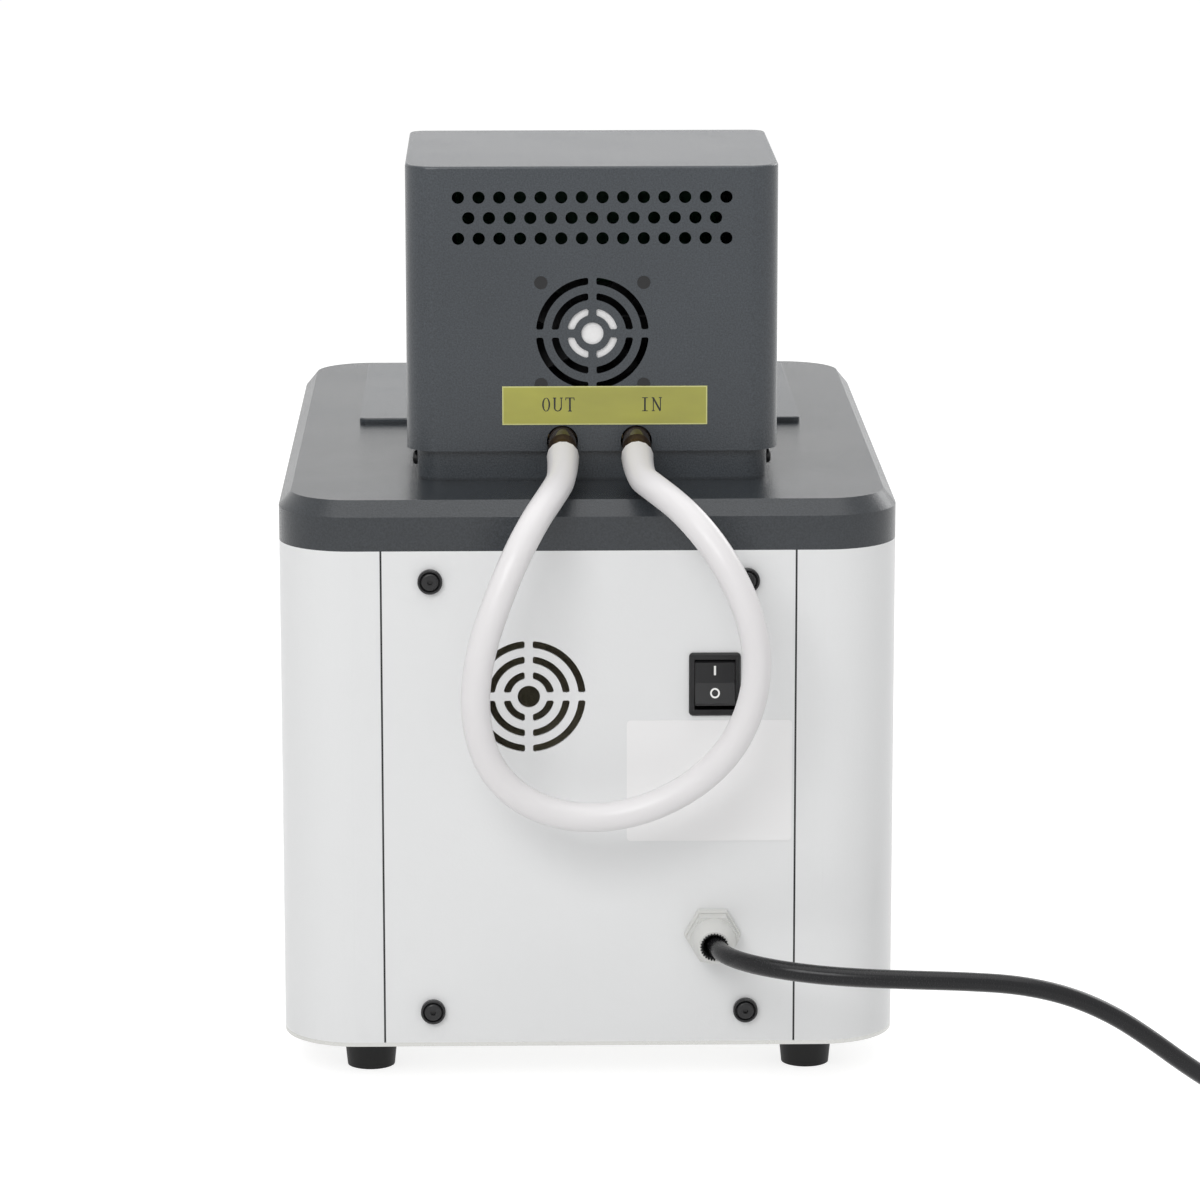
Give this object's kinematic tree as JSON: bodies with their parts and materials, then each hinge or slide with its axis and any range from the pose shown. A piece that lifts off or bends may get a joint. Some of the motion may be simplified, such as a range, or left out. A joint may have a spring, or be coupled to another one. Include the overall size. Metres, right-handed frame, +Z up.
{
  "type": "circulating oil bath",
  "caption": "Heated laboratory oil bath with a tank in a rounded case, a loose cover plate, and a pump head with control panel, fan, hose nozzles and hose loop.",
  "frame": {"origin": "middle of the case, head and panel fittings on the floor plane under the feet, cords and hose left out", "axes": "+Z up, the control panel and drain face -Y, the rear panel faces +Y"},
  "size_m": [0.601, 0.5234, 0.4456],
  "materials": {
    "deck_paint": "fine textured powder coat",
    "case_paint": "satin powder coat",
    "black_metal": "satin black",
    "stainless": "satin",
    "zinc_steel": "bright zinc",
    "motor_steel": "satin",
    "aluminium": "satin",
    "brass": "bright",
    "copper": "satin copper",
    "black_rubber": "matte",
    "sleeve_rubber": "glossy",
    "silicone": "milky satin",
    "black_plastic": "satin",
    "gland_plastic": "satin",
    "key_plastic": "satin",
    "panel_film": "fine matte film",
    "window": "glossy smoked",
    "board": "satin",
    "cord": "glossy",
    "wool": "felted",
    "port_metal": "glossy olive gold",
    "label_white": "glossy"
  },
  "bodies": {
    "housing": {"base_pan": "zinc_steel", "bath_cover": "deck_paint", "bath_tank": "stainless", "body_wrap": "case_paint", "circulation_hose": "silicone", "control_panel": "panel_film", "cord_coil": "cord", "cover_knob": "black_plastic", "cup_washers": "black_metal", "display_board": "board", "display_window": "window", "drain_fitting": "stainless", "drain_plug": "stainless", "fan_frame": "black_plastic", "fan_screws": "black_metal", "foot_screws": "zinc_steel", "gland_body": "gland_plastic", "gland_cap": "gland_plastic", "gland_locknut": "gland_plastic", "gland_seal": "black_rubber", "head_cover": "deck_paint", "head_plinth": "deck_paint", "heat_sink": "aluminium", "heating_element": "stainless", "hose_nozzles": "brass", "mains_cord": "cord", "mains_plug": "black_plastic", "motor_bearings": "zinc_steel", "nozzle_sleeves": "sleeve_rubber", "outlet_pipe": "copper", "panel_screws": "black_metal", "plate_screws": "zinc_steel", "plug_blades": "brass", "port_label": "port_metal", "pump_bolts": "zinc_steel", "pump_column": "stainless", "pump_housing": "stainless", "pump_inlet_plate": "stainless", "pump_motor": "motor_steel", "pump_plate": "stainless", "rating_label": "label_white", "rear_panel": "case_paint", "relay": "black_plastic", "return_pipe": "copper", "rubber_feet": "black_rubber", "side_screws": "black_metal", "switch_frame": "black_plastic", "tank_insulation": "wool", "tank_rails": "zinc_steel", "temperature_probe": "stainless", "top_deck": "deck_paint"},
    "rocker": {"switch_rocker": "black_plastic"},
    "fan": {"fan_rotor": "black_plastic"},
    "pump_rotor": {"pump_shaft": "stainless", "impeller": "stainless", "motor_rotor": "zinc_steel"},
    "set_key": {"key_set": "key_plastic"},
    "down_key": {"key_down": "key_plastic"},
    "up_key": {"key_up": "key_plastic"},
    "pump_key": {"key_pump": "key_plastic"}
  },
  "joints": [
    {"name": "switch_rock", "type": "hinge", "parent": "housing", "child": "rocker", "pos_m": [-0.0608, 0.21503, 0.2012], "axis": [-1, 0, 0], "range_deg": [0, 20]},
    {"name": "fan_spin", "type": "hinge", "parent": "housing", "child": "fan", "pos_m": [-0.0028, 0.14943, 0.364], "axis": [0, 1, 0], "continuous": true},
    {"name": "pump_spin", "type": "hinge", "parent": "housing", "child": "pump_rotor", "pos_m": [-0.0028, 0.06793, 0.2365], "axis": [0, 0, 1], "continuous": true},
    {"name": "set_push", "type": "slide", "parent": "housing", "child": "set_key", "axis": [0, 0.9986, -0.0529], "range_m": [0, 0.0008], "stiffness_N_per_m": 1500, "springref_m": -0.0005},
    {"name": "down_push", "type": "slide", "parent": "housing", "child": "down_key", "axis": [0, 0.9986, -0.0529], "range_m": [0, 0.0008], "stiffness_N_per_m": 1500, "springref_m": -0.0005},
    {"name": "up_push", "type": "slide", "parent": "housing", "child": "up_key", "axis": [0, 0.9986, -0.0529], "range_m": [0, 0.0008], "stiffness_N_per_m": 1500, "springref_m": -0.0005},
    {"name": "pump_push", "type": "slide", "parent": "housing", "child": "pump_key", "axis": [0, 0.9986, -0.0529], "range_m": [0, 0.0008], "stiffness_N_per_m": 1500, "springref_m": -0.0005}
  ]
}
